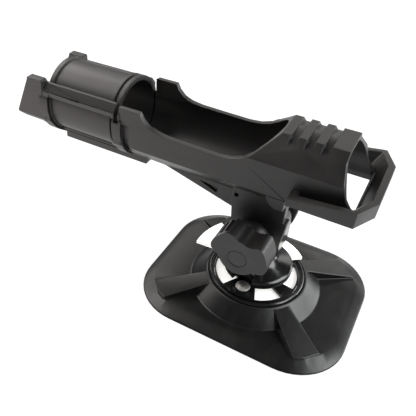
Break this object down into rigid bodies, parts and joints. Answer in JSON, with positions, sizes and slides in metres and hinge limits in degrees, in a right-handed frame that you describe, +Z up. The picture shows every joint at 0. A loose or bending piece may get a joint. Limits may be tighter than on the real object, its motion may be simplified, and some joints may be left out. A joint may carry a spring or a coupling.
{
  "type": "rod holder",
  "caption": "Tilting, turning fishing rod holder: open cradle with a turning lock sleeve and butt guard, clamped tilt joint, quick-release port and flat glue-on pad.",
  "frame": {"origin": "centre of the pad's flat underside", "axes": "+Z up out of the pad, +X along the cradle towards the butt guard, +Y to the side away from the knob"},
  "size_m": [0.2635, 0.125, 0.1395],
  "materials": {
    "black_nylon": "satin glass-filled nylon",
    "gloss_black": "polished black plastic",
    "pad_rubber": "satin flexible pad",
    "pale_acetal": "smooth off-white plastic",
    "stainless": "bright stainless",
    "brass_insert": "knurled brass",
    "seal_rubber": "matt seal rubber"
  },
  "bodies": {
    "base": {"pad_body": "pad_rubber", "backing_ring": "stainless", "port_housing": "gloss_black", "port_deck": "pale_acetal", "port_cover": "gloss_black", "port_screw_1": "stainless", "port_screw_2": "stainless", "port_screw_3": "stainless", "release_spring": "stainless"},
    "release": {"release_ring": "pale_acetal"},
    "post": {"swivel_post": "gloss_black", "spigot_seal": "seal_rubber"},
    "cradle": {"cradle_body": "black_nylon", "pivot_bolt": "stainless", "head_washer": "stainless", "thrust_washer": "stainless", "friction_washer_near": "seal_rubber", "friction_washer_far": "seal_rubber"},
    "knob": {"knob_body": "black_nylon", "knob_cap": "black_nylon", "knob_insert": "brass_insert"},
    "sleeve": {"lock_sleeve": "black_nylon"}
  },
  "joints": [
    {"name": "post_turn", "type": "hinge", "parent": "base", "child": "post", "pos_m": [0, 0, 0.01], "axis": [0, 0, 1], "continuous": true},
    {"name": "cradle_tilt", "type": "hinge", "parent": "post", "child": "cradle", "pos_m": [-0.0012, 0, 0.0645], "axis": [0, 1, 0], "range_deg": [-25, 75]},
    {"name": "knob_turn", "type": "hinge", "parent": "cradle", "child": "knob", "pos_m": [-0.0012, -0.035, 0.0645], "axis": [0, 1, 0], "continuous": true},
    {"name": "sleeve_turn", "type": "hinge", "parent": "cradle", "child": "sleeve", "pos_m": [-0.13, 0, 0.1135], "axis": [1, 0, 0], "range_deg": [0, 180]},
    {"name": "release_turn", "type": "hinge", "parent": "base", "child": "release", "pos_m": [0, 0, 0.022], "axis": [0, 0, 1], "range_deg": [-12, 0], "stiffness_Nm_per_rad": 0.1, "springref_deg": 5.73}
  ]
}
